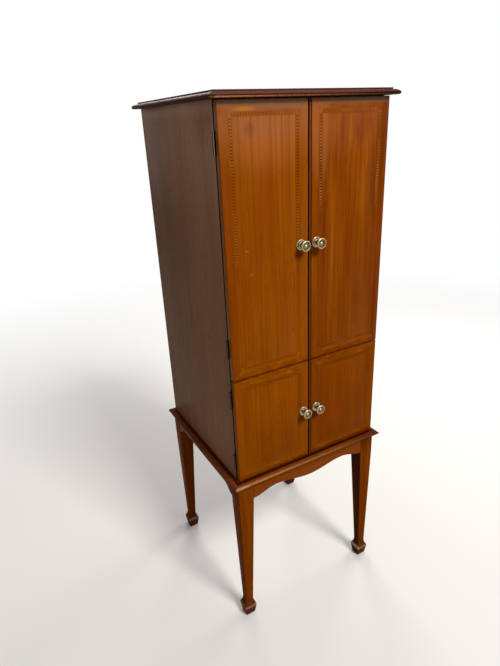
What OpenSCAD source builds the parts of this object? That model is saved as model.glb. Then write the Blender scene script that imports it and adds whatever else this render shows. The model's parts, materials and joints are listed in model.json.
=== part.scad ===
/* [Box] */
// Width of the box across both doors
cabinet_w = 366; // [340:1:440]
// Depth of the side boards, front edge to rear edge
side_d = 348; // [310:1:420]
// Height of the box between the stand and the top
box_h = 747.5; // [720:0.5:860]
// Thickness of the side boards
side_t = 12.5; // [12.5:0.5:18]
// Thickness of the bottom board and of the division board
board_t = 12; // [10:0.5:16]
// Thickness of the shelf
shelf_t = 9; // [8:0.5:14]
// Clear height between the division board and the shelf
shelf_rise = 262; // [200:1:330]
// How far the shelf's front edge lies behind the other boards
shelf_setback = 12; // [4:1:40]
// Thickness of the back panel
back_t = 6; // [5:0.5:10]

/* [Top] */
// Thickness of the top
top_t = 12.5; // [12:0.5:20]
// Height of the square step along the top's upper edge
top_step = 2.8; // [1.5:0.1:3.5]
// Radius of the rounded nose of the top's moulding
top_nose_r = 3.5; // [2.5:0.1:3.9]

/* [Edges of top and stand] */
// How far both square edges stand out past the sides of the box
edge_side = 5.5; // [3:0.5:12]
// How far both square edges stand out in front of the doors
edge_front = 2; // [1:0.5:8]
// How far both square edges stand out behind the back panel
edge_back = 1; // [0.5:0.5:8]
// How far both rounded mouldings reach past their square edge
nose_reach = 11; // [9:0.5:15]

/* [Doors] */
// Thickness of the doors
door_t = 12.5; // [12:0.5:18]
// Height of the two lower doors
lower_door_h = 240.7; // [210:0.1:280]
// Gap above, below and between the upper and the lower doors
door_gap = 1.5; // [1:0.1:2.5]
// Gap where a left and a right door meet
meeting_gap = 3.6; // [2:0.1:4.5]
// How far the gap of the upper doors lies to the left of the middle
upper_meeting = 4.7; // [1:0.1:6]
// How far the gap of the lower doors lies to the left of the middle
lower_meeting = 3.5; // [1:0.1:6]
// Width of the bead glued to the meeting edge of a right door
bead_w = 3.4; // [3:0.1:5]
// Width and depth of the groove beside that bead
quirk = 1.8; // [1:0.1:2.5]

/* [Inlay] */
// Distance from a door board's edges to its inlaid band
band_inset = 16.5; // [14.5:0.5:16.5]
// Width of the inlaid band
band_w = 11; // [6:0.5:13]
// Thickness of the inlaid band
band_t = 1; // [0.8:0.1:1.6]
// How far the band lies below the door's face
band_sunk = 0.2; // [0.1:0.1:0.4]

/* [Hinges] */
// Length of a hinge
hinge_l = 38; // [34:1:50]
// Width of a hinge leaf beside the knuckles
leaf_w = 9.6; // [8:0.1:9.6]
// Thickness of a hinge leaf
leaf_t = 1.2; // [1:0.1:1.3]
// Gap between the two leaves of a closed hinge
leaf_gap = 0.2; // [0.1:0.05:0.3]
// Outer radius of the knuckles
knuckle_r = 2.4; // [2.2:0.05:2.5]
// Gap between two knuckles along the pin
knuckle_gap = 0.2; // [0.15:0.05:0.4]
// How far the hinge pin's axis lies outside the side board
pin_out = 2.6; // [2.6:0.1:3.2]
// Radius of the hinge pin
pin_r = 1.1; // [0.8:0.05:1.2]
// Play between the pin and the door's knuckles, on the radius
pin_play = 0.05; // [0.03:0.01:0.08]
// Distance from an upper door's ends to the middle of its hinges
upper_hinge_inset = 65; // [40:1:110]
// Distance from a lower door's ends to the middle of its hinges
lower_hinge_inset = 45; // [30:1:70]

/* [Hinge screws] */
// Radius of the shank of a hinge screw
hinge_screw_r = 1.1; // [0.8:0.05:1.3]
// Radius of the head of a hinge screw
hinge_head_r = 2.2; // [1.8:0.1:2.6]
// Length of a hinge screw
hinge_screw_l = 9; // [6:0.5:10]
// Distance between the two screws of a leaf
hinge_screw_pitch = 22; // [16:1:26]

/* [Knobs] */
// How far a knob reaches in front of the door's face
knob_reach = 20; // [18:0.5:26]
// Radius of the knob's disc
disc_r = 10.8; // [9:0.1:12]
// Thickness of the disc's rim
disc_t = 4.4; // [3.4:0.1:6]
// Depth of the dish inside the rim
dish_d = 1.9; // [1:0.1:2.2]
// Radius of the boss in the dish
boss_r = 3.9; // [3:0.1:4.3]
// Height of the cone under the disc
disc_cone = 2.5; // [1.5:0.1:4]
// How much the neck narrows at its waist
waist_d = 1; // [0.5:0.1:1.6]
// Radius of the knob's neck
neck_r = 4.2; // [3:0.1:5]
// Radius of the rose behind the knob
rose_r = 10.6; // [10:0.1:12]
// Thickness of the rose
rose_t = 3.2; // [2:0.1:4]
// Gap between the rose's hole and the neck
rose_gap = 0.1; // [0.05:0.05:0.3]
// Distance of the upper left knob from the meeting edge of its door
upper_left_knob = 16.8; // [12.5:0.1:19]
// Distance of the upper right knob from the meeting edge of its door
upper_right_knob = 15.9; // [15.5:0.1:19]
// Distance of the lower left knob from the meeting edge of its door
lower_left_knob = 13.2; // [12.5:0.1:19]
// Distance of the lower right knob from the meeting edge of its door
lower_right_knob = 17.2; // [15.5:0.1:19]
// How far the upper knobs lie below the middle of their doors
upper_knob_drop = 2.8; // [0:0.1:60]
// How far the lower knobs lie above the middle of their doors
lower_knob_rise = 2; // [0:0.1:40]
// Radius of the knob's screw
knob_screw_r = 2; // [1.5:0.1:2.2]
// Length of the knob's screw inside the door
knob_screw_l = 9; // [6:0.5:10]

/* [Stand] */
// Height of the stand, floor to the ledge under the box
stand_h = 400; // [340:1:480]
// Thickness of the moulding round the stand
rim_t = 11; // [10.5:0.5:16]
// Height of the square step along the rim's upper edge
rim_step = 2; // [1:0.1:2.5]
// Radius of the rounded nose of the rim
rim_nose_r = 3; // [2.5:0.1:3.6]
// Width of the rim's boards behind their square edge
rim_w = 40; // [38:1:60]
// Thickness of the aprons
apron_t = 18; // [15:0.5:19]
// Depth of the front apron at its middle
apron_mid = 42; // [38:0.5:60]
// Depth of the front apron at its two hollows
apron_hollow = 30; // [26.5:0.5:36]
// Depth of the front and side aprons beside the legs
apron_knee = 43; // [42:0.5:64]
// Distance from a leg to the middle of the front apron's hollow
hollow_at = 60; // [40:1:70]
// Depth of the side aprons between their knees
side_apron = 27; // [26.5:0.5:36]
// Length of a side apron's knee along the rim
side_knee = 34; // [20:1:60]
// Depth of the plain rear apron
rear_apron = 42; // [36:0.5:60]

/* [Legs] */
// Width of a leg at its top, both ways
leg_w = 36; // [34:0.5:42]
// Length of a leg's square upper end
leg_square = 52; // [48:1:70]
// How much a leg's outer faces taper in
taper_out = 4.3; // [2:0.1:7]
// Width of a leg at the ankle
ankle_w = 18.6; // [15:0.1:22]
// Height of the ankle above the floor
ankle_h = 47; // [42:0.5:60]
// Width of the spade foot at its widest
foot_w = 30.6; // [27:0.1:36]
// Height of the foot's widest band above the floor
foot_ridge_h = 25.5; // [18:0.5:30]
// Height of that band itself
foot_band = 2; // [1:0.1:4]
// Width of the foot where it stands on the floor
foot_base_w = 23; // [18:0.1:26]

/* [Joints in the wood] */
// Length of the apron tenons
tenon_l = 18; // [12:0.5:19]
// Thickness of the apron tenons
tenon_t = 8; // [6:0.5:9]
// Height of the apron tenons
tenon_h = 18; // [12:0.5:20]
// Distance from an apron's outer face to its tenons
tenon_in = 5; // [4:0.5:6]
// Distance from an apron's top to its tenons
tenon_drop = 7; // [5:0.5:8]
// Radius of the dowels
dowel_r = 3; // [2:0.1:3.5]
// Length of the dowels
dowel_l = 20; // [14:0.5:24]
// Depth of the dowel holes in a board's face
dowel_face = 7; // [4:0.5:8]
// Distance between two dowels along the boards
dowel_pitch = 125; // [90:1:130]

/* [Fixings] */
// Length of the blocks that hold the box on the stand
block_l = 120; // [90:1:160]
// Width of those blocks
block_w = 20; // [16:0.5:24]
// Height of those blocks
block_h = 24; // [18:0.5:26]
// Distance between the two screws of a block
block_screw_pitch = 80; // [50:1:85]
// Radius of the screws in the blocks
block_screw_r = 2; // [1.5:0.1:2.5]
// Radius of the heads of those screws
block_head_r = 4; // [3.5:0.1:5]
// How far those screws reach into the bottom board
block_screw_bite = 8; // [5:0.5:9]
// Radius of the screws in the back panel
back_screw_r = 1.4; // [1:0.1:1.8]
// Radius of the heads of those screws
back_head_r = 2.8; // [2.4:0.1:3.4]
// Length of the screws in the back panel
back_screw_l = 18; // [12:0.5:24]
// Distance from the back panel's ends to its first screws
back_screw_end = 30; // [20:1:50]
// Number of screws up each side of the back panel
back_screw_count = 5; // [3:1:9]

/* [Hidden] */
$fn = 96;

// Small overlap that keeps one piece's shapes joined
eps = 0.01;
// How far cutting shapes run past what they cut
past = 1;
// Width and depth of the slot in a screw's head
slot_w = 0.6;
slot_d = 0.5;
// Distance from a hinge's knuckles to the wide part of its leaves
leaf_neck = 0.4;

// Front to back, with the knobs' faces foremost and the rear moulding last
hinge_gap = 2 * leaf_t + leaf_gap;
overall_d = knob_reach + door_t + hinge_gap + side_d + back_t + edge_back + nose_reach;
door_y = knob_reach - overall_d / 2;
door_back_y = door_y + door_t;
box_front = door_back_y + hinge_gap;
side_rear = box_front + side_d;
box_rear = side_rear + back_t;
frame_front = door_y - edge_front;
frame_rear = box_rear + edge_back;

// Across
half_w = cabinet_w / 2;
inner_half = half_w - side_t;
frame_half = half_w + edge_side;

// Upwards
frame_top = stand_h - rim_t;
top_z = stand_h + box_h;
bottom_z = stand_h + board_t;
lower_door_z = stand_h + door_gap;
upper_door_z = lower_door_z + lower_door_h + door_gap;
upper_door_h = top_z - door_gap - upper_door_z;
division_z = upper_door_z - door_gap / 2 - board_t / 2;
shelf_z = division_z + board_t + shelf_rise;
upper_hinges = [upper_door_z + upper_hinge_inset, upper_door_z + upper_door_h - upper_hinge_inset];
lower_hinges = [lower_door_z + lower_hinge_inset, lower_door_z + lower_door_h - lower_hinge_inset];
all_hinges = concat(lower_hinges, upper_hinges);

// The meeting edges of a left door, of a right door's bead and of its board
function left_edge(meeting) = -meeting - meeting_gap / 2;
function bead_edge(meeting) = -meeting + meeting_gap / 2;
function right_edge(meeting) = bead_edge(meeting) + bead_w;

// Hinge axis, shared by the upper and lower door of a side
pin_x = half_w + pin_out;
pin_y = door_back_y + hinge_gap / 2;
leaf_start = knuckle_r + leaf_neck;
leaf_screw_x = leaf_start + leaf_w / 2;
knuckle_l = (hinge_l - 4 * knuckle_gap) / 5;

// Legs: the foot's middle lies under the ankle's middle
foot_in = taper_out + ankle_w / 2;
foot_x = frame_half - foot_in;
foot_front = frame_front + foot_in;
foot_rear = frame_rear - foot_in;
flare_x = (foot_w - ankle_w) / 2;
flare_z = ankle_h - foot_ridge_h - foot_band;
flare_r = (flare_x * flare_x + flare_z * flare_z) / (2 * flare_x);
taper_top = frame_top - leg_square;

// Aprons run between the legs
span_front = 2 * (frame_half - leg_w);
span_side = frame_rear - frame_front - 2 * leg_w;
mid_y = (frame_front + frame_rear) / 2;
apron_edge_count = 24;

// Colours
door_wood = [0.56, 0.28, 0.07];
side_wood = [0.33, 0.19, 0.13];
rim_wood = [0.45, 0.24, 0.11];
leg_wood = [0.42, 0.20, 0.06];
inside_wood = [0.55, 0.38, 0.22];
inlay_wood = [0.38, 0.18, 0.06];
brass = [0.72, 0.60, 0.38];
steel = [0.45, 0.43, 0.40];

// Rounded nose, from its square edge at x = 0, made of two circles that touch inside
module nose(height, radius) {
    big_r = (pow(nose_reach - radius, 2) + pow(height - radius, 2) - pow(radius, 2))
        / (2 * (height - 2 * radius));
    to_nose = [nose_reach - radius, radius - height + big_r] / (big_r - radius);
    touch = [0, height - big_r] + big_r * to_nose;
    intersection() {
        union() {
            translate([-past, 0]) square([nose_reach - radius + past, touch[1]]);
            translate([-past, touch[1] - eps]) square([touch[0] + past, height - touch[1] + eps]);
            translate([nose_reach - radius, radius]) circle(radius);
        }
        translate([0, height - big_r]) circle(big_r);
    }
}

// Section through a board with the moulding along both ends
module moulded_section(low, high, thick, step, radius) {
    translate([low, 0]) square([high - low, thick]);
    translate([high, 0]) nose(thick - step, radius);
    translate([low, 0]) mirror([1, 0]) nose(thick - step, radius);
}

// Board with the moulding mitred round all four edges, its underside at z = 0
module moulded_board(thick, step, radius) {
    reach = nose_reach + past;
    intersection() {
        translate([0, frame_rear + reach, 0]) rotate([90, 0, 0])
            linear_extrude(frame_rear - frame_front + 2 * reach)
                moulded_section(-frame_half, frame_half, thick, step, radius);
        translate([-frame_half - reach, 0, 0]) rotate([90, 0, 90])
            linear_extrude(2 * (frame_half + reach))
                moulded_section(frame_front, frame_rear, thick, step, radius);
    }
}

// Countersunk screw along +z, its head's face at z = 0, its slot across
module screw(radius, head, length) {
    cone = head - radius;
    difference() {
        union() {
            cylinder(h = length, r = radius);
            cylinder(h = cone, r1 = head, r2 = radius);
        }
        translate([-head, -slot_w / 2, -eps]) cube([2 * head, slot_w, slot_d + eps]);
    }
}

// The room that such a screw takes up, running out through z = 0
module screw_hole(radius, head, length) {
    cone = head - radius;
    translate([0, 0, -eps]) cylinder(h = length + eps, r = radius);
    cylinder(h = cone, r1 = head, r2 = radius);
    translate([0, 0, -past]) cylinder(h = past + eps, r = head);
}

// One side of a leg seen square on; +x points to the inside of the stand
module leg_outline() {
    outer = -foot_in;
    half_ankle = ankle_w / 2;
    half_foot = foot_w / 2;
    band_top = foot_ridge_h + foot_band;
    difference() {
        polygon([
            [outer, frame_top], [outer, taper_top], [-half_ankle, ankle_h],
            [-half_foot, band_top], [-half_foot, foot_ridge_h], [-foot_base_w / 2, 0],
            [foot_base_w / 2, 0], [half_foot, foot_ridge_h], [half_foot, band_top],
            [half_ankle, ankle_h], [outer + leg_w, taper_top], [outer + leg_w, frame_top],
        ]);
        for (side = [-1, 1])
            intersection() {
                translate([side * (half_ankle + flare_r), ankle_h]) circle(flare_r);
                translate([side * half_foot - half_foot, 0]) square([foot_w, ankle_h]);
            }
    }
}

// Tenon of an apron, lying along +x from the leg's inner face
module tenon() {
    translate([-eps, tenon_in, frame_top - tenon_drop - tenon_h])
        cube([tenon_l + eps, tenon_t, tenon_h]);
}

// Leg at the left front corner, with mortices for the two aprons
module leg() {
    difference() {
        translate([-foot_x, foot_front, 0]) intersection() {
            translate([0, leg_w, 0]) rotate([90, 0, 0]) linear_extrude(2 * leg_w) leg_outline();
            translate([-leg_w, 0, 0]) rotate([90, 0, 90]) linear_extrude(2 * leg_w) leg_outline();
        }
        translate([leg_w - frame_half, frame_front, 0]) mirror([1, 0, 0]) tenon();
        translate([-frame_half, frame_front + leg_w, 0])
            mirror([1, -1, 0]) mirror([1, 0, 0]) tenon();
    }
}

// Puts a left front piece of the stand at another corner
module at_corner(right, rear) {
    translate([0, rear ? 2 * mid_y : 0, 0])
        mirror([0, rear ? 1 : 0, 0])
            mirror([right ? 1 : 0, 0, 0])
                children();
}

// Depth of an apron that goes over from one depth to another, with share running from 0 to 1
function eased(from, to, share) = from + (to - from) * (1 - cos(180 * share)) / 2;

// Depth of the front apron at a distance from its middle
function front_depth(away) =
    let (hollow = span_front / 2 - hollow_at)
    away < hollow
        ? eased(apron_mid, apron_hollow, away / hollow)
        : eased(apron_hollow, apron_knee, (away - hollow) / hollow_at);

// Depth of a side apron at a distance from its middle
function side_depth(away) =
    let (straight = span_side / 2 - side_knee)
    eased(side_apron, apron_knee, max(0, away - straight) / side_knee);

// Outline of an apron, its upper edge at y = 0; the lower edge has a straight middle where it has knees only
module apron_outline(span, front) {
    half = span / 2;
    reach = front ? half : side_knee;
    steps = [for (i = [0 : apron_edge_count]) half - reach + reach * i / apron_edge_count];
    right = [for (away = steps) [away, -(front ? front_depth(away) : side_depth(away))]];
    left = [for (i = [apron_edge_count : -1 : front ? 1 : 0]) [-right[i][0], right[i][1]]];
    polygon(concat([[half, 0], [-half, 0]], left, right));
}

// Apron with its tenons, along x, its outer face at y = 0
module shaped_apron(span, front) {
    translate([0, apron_t, frame_top]) rotate([90, 0, 0]) linear_extrude(apron_t)
        apron_outline(span, front);
    translate([span / 2, 0, 0]) tenon();
    mirror([1, 0, 0]) translate([span / 2, 0, 0]) tenon();
}

// One side of the rim, cut from the moulded board between two mitres
module rim_part(corners) {
    color(rim_wood) intersection() {
        translate([0, 0, frame_top]) moulded_board(rim_t, rim_step, rim_nose_r);
        translate([0, 0, frame_top - past]) linear_extrude(rim_t + 2 * past) polygon(corners);
    }
}

// Corners of the rim's outer edge and of its opening, seen from above
rim_out = nose_reach + past;
rim_left_x = -frame_half - rim_out;
rim_front_y = frame_front - rim_out;
rim_rear_y = frame_rear + rim_out;
hole_left_x = rim_w - frame_half;
hole_front_y = frame_front + rim_w;
hole_rear_y = frame_rear - rim_w;

// Places of the screws that hold the box on the stand
block_x = frame_half - apron_t - block_w / 2;
block_screw_l = block_h + rim_t + block_screw_bite;
module block_screw_places() {
    for (side = [-1, 1], at = [-1, 1])
        translate([side * block_x, mid_y + at * block_screw_pitch / 2, frame_top - block_h])
            children();
}

// Places of the screws in the back panel, pointing into the box
back_screw_step = (box_h - 2 * back_screw_end) / (back_screw_count - 1);
module back_screw_places() {
    for (side = [-1, 1], i = [0 : back_screw_count - 1])
        translate([side * (half_w - side_t / 2), box_rear, stand_h + back_screw_end + i * back_screw_step])
            rotate([90, 0, 0]) children();
    for (side = [-1, 1], z = [stand_h + board_t / 2, division_z + board_t / 2])
        translate([side * inner_half / 2, box_rear, z]) rotate([90, 0, 0]) children();
}

// Places of the dowels: across the boards' ends and up into the top
dowel_ys = [for (i = [-1 : 1]) box_front + side_d / 2 + i * dowel_pitch];
module dowel_places() {
    for (side = [-1, 1], y = dowel_ys) {
        for (z = [stand_h + board_t / 2, division_z + board_t / 2, shelf_z + shelf_t / 2])
            translate([side * (inner_half + dowel_face), y, z]) rotate([0, -90 * side, 0]) children();
        translate([side * (half_w - side_t / 2), y, top_z + dowel_face]) rotate([180, 0, 0]) children();
    }
}
module dowel() {
    cylinder(h = dowel_l, r = dowel_r);
}

// Leaf of a left hinge: +x runs from the pin across the wood, y = 0 at the pin's axis
module hinge_leaf(on_door, bore) {
    turn = on_door ? 1 : 0;
    first = on_door ? 1 : 0;
    mirror([0, turn, 0]) difference() {
        union() {
            translate([leaf_start, leaf_gap / 2, -hinge_l / 2]) cube([leaf_w, leaf_t, hinge_l]);
            for (i = [first : 2 : 4])
                translate([0, 0, i * (knuckle_l + knuckle_gap) - hinge_l / 2]) {
                    cylinder(h = knuckle_l, r = knuckle_r);
                    translate([0, leaf_gap / 2, 0]) cube([leaf_start + eps, leaf_t, knuckle_l]);
                }
        }
        translate([0, 0, -hinge_l]) cylinder(h = 2 * hinge_l, r = bore);
        for (at = [-1, 1])
            translate([leaf_screw_x, leaf_gap / 2, at * hinge_screw_pitch / 2])
                rotate([-90, 0, 0]) screw_hole(hinge_screw_r, hinge_head_r, hinge_screw_l);
    }
}

// Places the leaves of one side's hinges
module at_hinges(right, heights) {
    mirror([right ? 1 : 0, 0, 0]) for (z = heights) translate([-pin_x, pin_y, z]) children();
}

// The screws of one leaf, or the holes for them
module leaf_screws(on_door, holes = false) {
    turn = on_door ? 1 : 0;
    mirror([0, turn, 0]) for (at = [-1, 1])
        translate([leaf_screw_x, leaf_gap / 2, at * hinge_screw_pitch / 2]) rotate([-90, 0, 0])
            if (holes) screw_hole(hinge_screw_r, hinge_head_r, hinge_screw_l);
            else screw(hinge_screw_r, hinge_head_r, hinge_screw_l);
}

// Puts a knob, a rose or the knob's hole on a door, +z pointing to the front; place is its x and z
module at_knob(place) {
    translate([place[0], door_y, place[1]]) rotate([90, 0, 0]) children();
}
module knob_hole() {
    translate([0, 0, -knob_screw_l]) cylinder(h = knob_screw_l + past, r = knob_screw_r);
}

// Frame of the inlaid band on a door board
module band(left, right, low, high, thick) {
    inner = band_inset + band_w;
    translate([0, door_y + band_sunk + thick, 0]) rotate([90, 0, 0]) linear_extrude(thick)
        difference() {
            translate([left + band_inset, low + band_inset])
                square([right - left - 2 * band_inset, high - low - 2 * band_inset]);
            translate([left + inner, low + inner])
                square([right - left - 2 * inner, high - low - 2 * inner]);
        }
}

// Door board with its groove for the band and its holes
module door_board(right_side, meeting, low, high, knob_at, hinges) {
    left = right_side ? right_edge(meeting) : -half_w;
    right = right_side ? half_w : left_edge(meeting);
    color(door_wood) difference() {
        translate([left, door_y, low]) cube([right - left, door_t, high - low]);
        translate([0, -band_sunk, 0]) band(left, right, low, high, band_t + band_sunk);
        at_hinges(right_side, hinges) leaf_screws(true, true);
        at_knob(knob_at) knob_hole();
        if (right_side)
            translate([left - past, door_y - past, low - past])
                cube([quirk + past, quirk + past, high - low + 2 * past]);
    }
}

// Bead with a round front, glued to the meeting edge of a right door
module bead(meeting, low, high) {
    color(rim_wood) translate([bead_edge(meeting), door_y, low]) linear_extrude(high - low) {
        translate([0, bead_w / 2]) square([bead_w, door_t - bead_w / 2]);
        translate([bead_w / 2, bead_w / 2]) circle(bead_w / 2);
    }
}

module inlay(right_side, meeting, low, high, knob_at) {
    left = right_side ? right_edge(meeting) : -half_w;
    right = right_side ? half_w : left_edge(meeting);
    color(inlay_wood) difference() {
        band(left, right, low, high, band_t);
        at_knob(knob_at) knob_hole();
    }
}

// Rose: a flat foot, a rounded edge, a turned groove and a hole for the neck
module rose() {
    ring_r = rose_t / 2;
    groove_x = rose_r - 3 * ring_r;
    groove_up = 0.4;
    color(brass) rotate_extrude() difference() {
        union() {
            square([rose_r - ring_r, rose_t]);
            square([rose_r, ring_r]);
            translate([rose_r - ring_r, ring_r]) circle(ring_r);
        }
        translate([groove_x, rose_t + groove_up]) circle(ring_r);
        translate([-past, -past]) square([neck_r + rose_gap + past, rose_t + 2 * past]);
    }
}

// Knob: screw, waisted neck with a cone under the disc, round rim and a boss in the dish
module knob() {
    rim = disc_t / 2;
    disc_z = knob_reach - disc_t;
    plate = disc_t - dish_d;
    neck_half = (disc_z - disc_cone - rose_t) / 2;
    waist_r = (neck_half * neck_half + waist_d * waist_d) / (2 * waist_d);
    color(brass) rotate_extrude() difference() {
        union() {
            translate([0, -knob_screw_l]) square([knob_screw_r, knob_screw_l + past]);
            square([neck_r, disc_z + plate]);
            polygon([[0, disc_z - disc_cone], [neck_r, disc_z - disc_cone],
                [disc_r - rim, disc_z + eps], [0, disc_z + eps]]);
            translate([0, disc_z]) square([disc_r - rim, plate]);
            translate([disc_r - rim, disc_z + rim]) circle(rim);
            intersection() {
                translate([0, knob_reach - boss_r]) circle(boss_r);
                translate([0, disc_z]) square([boss_r, disc_t]);
            }
        }
        intersection() {
            translate([neck_r - waist_d + waist_r, rose_t + neck_half]) circle(waist_r);
            translate([0, rose_t]) square([neck_r + eps, 2 * neck_half]);
        }
    }
}

module door_hinge_leaves(right_side, hinges) {
    color(steel) at_hinges(right_side, hinges) hinge_leaf(true, pin_r + pin_play);
}

module door_hinge_screws(right_side, hinges) {
    color(brass) at_hinges(right_side, hinges) leaf_screws(true);
}

module leg_front_left() {
    color(leg_wood) at_corner(false, false) leg();
}
module leg_front_right() {
    color(leg_wood) at_corner(true, false) leg();
}
module leg_back_left() {
    color(leg_wood) at_corner(false, true) leg();
}
module leg_back_right() {
    color(leg_wood) at_corner(true, true) leg();
}

module apron_front() {
    color(leg_wood) translate([0, frame_front, 0]) shaped_apron(span_front, true);
}
module apron_back() {
    color(leg_wood) translate([0, frame_rear, 0]) mirror([0, 1, 0]) {
        translate([-span_front / 2, 0, frame_top - rear_apron]) cube([span_front, apron_t, rear_apron]);
        translate([span_front / 2, 0, 0]) tenon();
        mirror([1, 0, 0]) translate([span_front / 2, 0, 0]) tenon();
    }
}
module apron_left() {
    color(leg_wood) translate([-frame_half, mid_y, 0]) rotate([0, 0, -90]) shaped_apron(span_side, false);
}
module apron_right() {
    mirror([1, 0, 0]) apron_left();
}

module rim_front() {
    rim_part([[rim_left_x, rim_front_y], [-rim_left_x, rim_front_y],
        [-hole_left_x, hole_front_y], [hole_left_x, hole_front_y]]);
}
module rim_back() {
    rim_part([[rim_left_x, rim_rear_y], [-rim_left_x, rim_rear_y],
        [-hole_left_x, hole_rear_y], [hole_left_x, hole_rear_y]]);
}
module rim_left() {
    color(rim_wood) difference() {
        rim_part([[rim_left_x, rim_front_y], [hole_left_x, hole_front_y],
            [hole_left_x, hole_rear_y], [rim_left_x, rim_rear_y]]);
        block_screw_places() cylinder(h = block_screw_l, r = block_screw_r);
    }
}
module rim_right() {
    mirror([1, 0, 0]) rim_left();
}

module fixing_block_left() {
    color(inside_wood) difference() {
        translate([apron_t - frame_half, mid_y - block_l / 2, frame_top - block_h])
            cube([block_w, block_l, block_h]);
        block_screw_places() screw_hole(block_screw_r, block_head_r, block_screw_l);
    }
}
module fixing_block_right() {
    mirror([1, 0, 0]) fixing_block_left();
}
module fixing_block_screws() {
    color(steel) block_screw_places() screw(block_screw_r, block_head_r, block_screw_l);
}

// A board of the box between the sides
module inner_board(z, thick, setback) {
    difference() {
        translate([-inner_half, box_front + setback, z]) cube([2 * inner_half, side_d - setback, thick]);
        dowel_places() dowel();
        back_screw_places() screw_hole(back_screw_r, back_head_r, back_screw_l);
    }
}
module bottom_board() {
    color(inside_wood) difference() {
        inner_board(stand_h, board_t, 0);
        block_screw_places() cylinder(h = block_screw_l, r = block_screw_r);
    }
}
module division_board() {
    color(inside_wood) inner_board(division_z, board_t, 0);
}
module shelf() {
    color(inside_wood) inner_board(shelf_z, shelf_t, shelf_setback);
}
module side_left() {
    color(side_wood) difference() {
        translate([-half_w, box_front, stand_h]) cube([side_t, side_d, box_h]);
        dowel_places() dowel();
        back_screw_places() screw_hole(back_screw_r, back_head_r, back_screw_l);
        at_hinges(false, all_hinges) leaf_screws(false, true);
    }
}
module side_right() {
    mirror([1, 0, 0]) side_left();
}
module back_panel() {
    color(inside_wood) difference() {
        translate([-half_w, side_rear, stand_h]) cube([cabinet_w, back_t, box_h]);
        back_screw_places() screw_hole(back_screw_r, back_head_r, back_screw_l);
    }
}
module back_panel_screws() {
    color(steel) back_screw_places() screw(back_screw_r, back_head_r, back_screw_l);
}
module top() {
    color(rim_wood) difference() {
        translate([0, 0, top_z]) moulded_board(top_t, top_step, top_nose_r);
        dowel_places() dowel();
    }
}
module dowels() {
    color(inside_wood) dowel_places() dowel();
}

module hinge_frame_leaves() {
    color(steel) for (right_side = [false, true])
        at_hinges(right_side, all_hinges) hinge_leaf(false, pin_r);
}
module hinge_frame_screws() {
    color(brass) for (right_side = [false, true])
        at_hinges(right_side, all_hinges) leaf_screws(false);
}
module hinge_pins() {
    color(steel) for (right_side = [false, true])
        at_hinges(right_side, all_hinges) translate([0, 0, -hinge_l / 2]) cylinder(h = hinge_l, r = pin_r);
}

upper_low = upper_door_z;
upper_high = upper_door_z + upper_door_h;
lower_low = lower_door_z;
lower_high = lower_door_z + lower_door_h;
upper_knob_z = (upper_low + upper_high) / 2 - upper_knob_drop;
lower_knob_z = (lower_low + lower_high) / 2 + lower_knob_rise;
knob_at_upper_left = [left_edge(upper_meeting) - upper_left_knob, upper_knob_z];
knob_at_upper_right = [bead_edge(upper_meeting) + upper_right_knob, upper_knob_z];
knob_at_lower_left = [left_edge(lower_meeting) - lower_left_knob, lower_knob_z];
knob_at_lower_right = [bead_edge(lower_meeting) + lower_right_knob, lower_knob_z];

module upper_left_board() {
    door_board(false, upper_meeting, upper_low, upper_high, knob_at_upper_left, upper_hinges);
}
module upper_left_inlay() {
    inlay(false, upper_meeting, upper_low, upper_high, knob_at_upper_left);
}
module upper_right_board() {
    door_board(true, upper_meeting, upper_low, upper_high, knob_at_upper_right, upper_hinges);
}
module upper_right_inlay() {
    inlay(true, upper_meeting, upper_low, upper_high, knob_at_upper_right);
}
module lower_left_board() {
    door_board(false, lower_meeting, lower_low, lower_high, knob_at_lower_left, lower_hinges);
}
module lower_left_inlay() {
    inlay(false, lower_meeting, lower_low, lower_high, knob_at_lower_left);
}
module lower_right_board() {
    door_board(true, lower_meeting, lower_low, lower_high, knob_at_lower_right, lower_hinges);
}
module lower_right_inlay() {
    inlay(true, lower_meeting, lower_low, lower_high, knob_at_lower_right);
}

leg_front_left();
leg_front_right();
leg_back_left();
leg_back_right();
apron_front();
apron_back();
apron_left();
apron_right();
rim_front();
rim_back();
rim_left();
rim_right();
fixing_block_left();
fixing_block_right();
fixing_block_screws();
bottom_board();
division_board();
shelf();
side_left();
side_right();
back_panel();
back_panel_screws();
top();
dowels();
hinge_frame_leaves();
hinge_frame_screws();
hinge_pins();
upper_left_board();  // door_upper_left
upper_left_inlay();  // inlay_upper_left
at_knob(knob_at_upper_left) rose();  // rose_upper_left
at_knob(knob_at_upper_left) knob();  // knob_upper_left
door_hinge_leaves(false, upper_hinges);  // hinge_leaves_upper_left
door_hinge_screws(false, upper_hinges);  // hinge_screws_upper_left
upper_right_board();  // door_upper_right
bead(upper_meeting, upper_low, upper_high);  // bead_upper_right
upper_right_inlay();  // inlay_upper_right
at_knob(knob_at_upper_right) rose();  // rose_upper_right
at_knob(knob_at_upper_right) knob();  // knob_upper_right
door_hinge_leaves(true, upper_hinges);  // hinge_leaves_upper_right
door_hinge_screws(true, upper_hinges);  // hinge_screws_upper_right
lower_left_board();  // door_lower_left
lower_left_inlay();  // inlay_lower_left
at_knob(knob_at_lower_left) rose();  // rose_lower_left
at_knob(knob_at_lower_left) knob();  // knob_lower_left
door_hinge_leaves(false, lower_hinges);  // hinge_leaves_lower_left
door_hinge_screws(false, lower_hinges);  // hinge_screws_lower_left
lower_right_board();  // door_lower_right
bead(lower_meeting, lower_low, lower_high);  // bead_lower_right
lower_right_inlay();  // inlay_lower_right
at_knob(knob_at_lower_right) rose();  // rose_lower_right
at_knob(knob_at_lower_right) knob();  // knob_lower_right
door_hinge_leaves(true, lower_hinges);  // hinge_leaves_lower_right
door_hinge_screws(true, lower_hinges);  // hinge_screws_lower_right
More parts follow.
